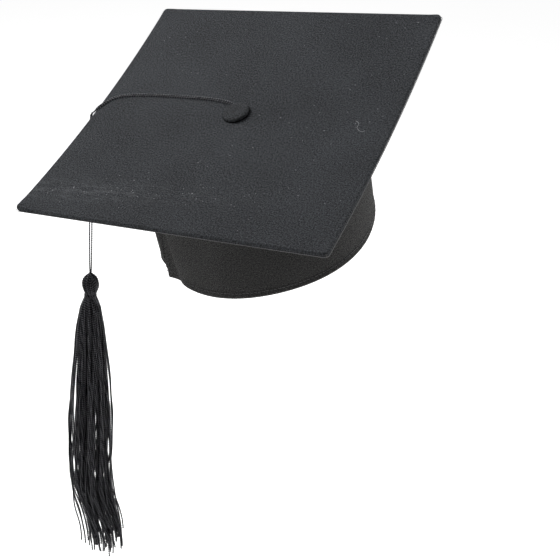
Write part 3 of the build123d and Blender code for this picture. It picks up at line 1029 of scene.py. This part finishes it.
front = crown_sheet("crown_front", crown_cloth, -QUARTER, QUARTER, 0, TOP_EDGE, 0, 0.9, hem=True)
finish_piece(front, "cap", "crown_cloth", "crown_front_panel")
back = crown_sheet("crown_back", crown_cloth, QUARTER, OVAL_LENGTH - QUARTER, 0, TOP_EDGE, 0, 0.9, step=1.5,
                   hem=True)
finish_piece(back, "cap", "crown_cloth", "crown_back_panel")
stiff = crown_sheet("front_buckram", buckram, -QUARTER + 14, QUARTER - 14, 5, TOP_EDGE - 4, 1.0, 0.8)
finish_piece(stiff, "cap", "stiffening", "front_stiffener")
band = crown_sheet("sweat_band", lining_cloth, -QUARTER + 2, QUARTER - 2, 0.8, 30, 2.0, 0.7)
finish_piece(band, "cap", "lining_cloth", "sweatband")
casing = crown_sheet("back_casing", lining_cloth, QUARTER + 3, OVAL_LENGTH - QUARTER - 3, 1.2, 27, 2.0, 0.7,
                     step=1.5)
finish_piece(casing, "cap", "lining_cloth", "elastic_casing", "elastic_band")
for name, seam in (("right_seam", QUARTER), ("left_seam", OVAL_LENGTH - QUARTER)):
    allowance = crown_sheet(name, crown_cloth, seam - 5, seam + 5, 31, TOP_EDGE - 3, 1.9, 0.6)
    finish_piece(allowance, "cap", "crown_cloth", "side_seam_allowances")
tag = crown_sheet("blank_label", label_tape, OVAL_LENGTH / 2 - 12, OVAL_LENGTH / 2 + 12, 15, 40, 3.0, 0.25)
finish_piece(tag, "cap", "label", "care_label")
finish_piece(crown_top("crown_lid", crown_cloth), "cap", "crown_cloth", "crown_top_panel")
stitches = stitch_row("hem_stitches", thread, -QUARTER + 1, OVAL_LENGTH - QUARTER - 1, STITCH_HEIGHT, -0.1,
                      STITCH_PITCH, 2.2, 0.22)
finish_piece(stitches, "cap", "thread", "rim_stitches")

finish_piece(tassel_head("tassel_head_yarns", tassel_yarn), "tassel", "tassel_yarn", "tassel_head")
finish_piece(neck_wrap("neck_winding", tassel_yarn), "tassel", "tassel_yarn", "tassel_neck_wrap")
finish_piece(tassel_skirt("skirt_yarns", tassel_yarn), "tassel", "tassel_yarn", "tassel_skirt")
for side, name in ((1, "cord_strand_a"), (-1, "cord_strand_b")):
    piece = strand(name, side, cord_yarn)
    nodes = ("cord_on_board", "hanging_strand_a") if side == 1 else ("hanging_strand_b",)
    finish_piece(piece, None, "cord", *nodes)

finish_piece(lint("caught_lint", lint_fibre, 170), "cap", "thread")

# CAD pieces that stay, mostly hidden inside
for node, material in {
    "button_shank": plated, "button_washer": plated, "tassel_core_knot": cord_yarn,
}.items():
    mesh = frame["nodes"][node].data
    mesh.materials.clear()
    mesh.materials.append(material)


# ---- Floor, light and camera -------------------------------------------------------------

def floor():
    lowest = cad_box[0][2] - 0.25
    size = 6.0
    points = [(-size, -size, lowest), (size, -size, lowest), (size, size, lowest), (-size, size, lowest)]
    shader = Shader("pale_floor", (0.93, 0.93, 0.93), 0.9, Emission_Color=(1, 1, 1, 1),
                    Emission_Strength=0.75)
    grain = shader.noise(shader.place(), 3, 2, 0.5)
    shader.link(shader.mix(grain, (0.92, 0.92, 0.92), (0.95, 0.95, 0.95)), "Base Color")
    mesh_object("studio_floor", points, [(0, 1, 2, 3)], material=shader.material)


def soft_light(name, place, target, width, height, power):
    light = bpy.data.lights.new(name, "AREA")
    light.shape = "RECTANGLE"
    light.size = width
    light.size_y = height
    light.energy = power
    lamp = bpy.data.objects.new(name, light)
    lamp.location = place
    lamp.rotation_euler = (Vector(target) - Vector(place)).to_track_quat("-Z", "Y").to_euler()
    bpy.context.scene.collection.objects.link(lamp)


def studio():
    world = bpy.data.worlds.new("studio")
    world.use_nodes = True
    world.node_tree.nodes["Background"].inputs[0].default_value = (1.0, 1.0, 1.0, 1)
    world.node_tree.nodes["Background"].inputs[1].default_value = 0.2
    bpy.context.scene.world = world
    soft_light("overhead", (-0.55, 0.7, 0.8), (0, 0, 0), 0.9, 0.9, 24)
    soft_light("left_rim", (-1.3, 0.6, 0.3), (-0.05, 0, -0.05), 0.4, 1.1, 2.0)
    soft_light("right_rim", (1.1, 0.1, 0.3), (0.05, 0, 0), 0.35, 1.1, 11)
    soft_light("front_fill", (0.1, -1.25, 1.15), (0, 0, -0.1), 0.22, 0.22, 4.5)
    bpy.context.scene.view_settings.view_transform = "Standard"


def camera():
    lens = bpy.data.cameras.new("camera")
    lens.lens = 71.7
    lens.sensor_width = 36
    lens.clip_start = 0.01
    eye = bpy.data.objects.new("camera", lens)
    eye.location = (-0.3139, -0.7106, 0.3893)
    eye.rotation_euler = (radians(59.671), radians(-4.725), radians(-22.502))
    bpy.context.scene.collection.objects.link(eye)
    bpy.context.scene.camera = eye


floor()
studio()
camera()
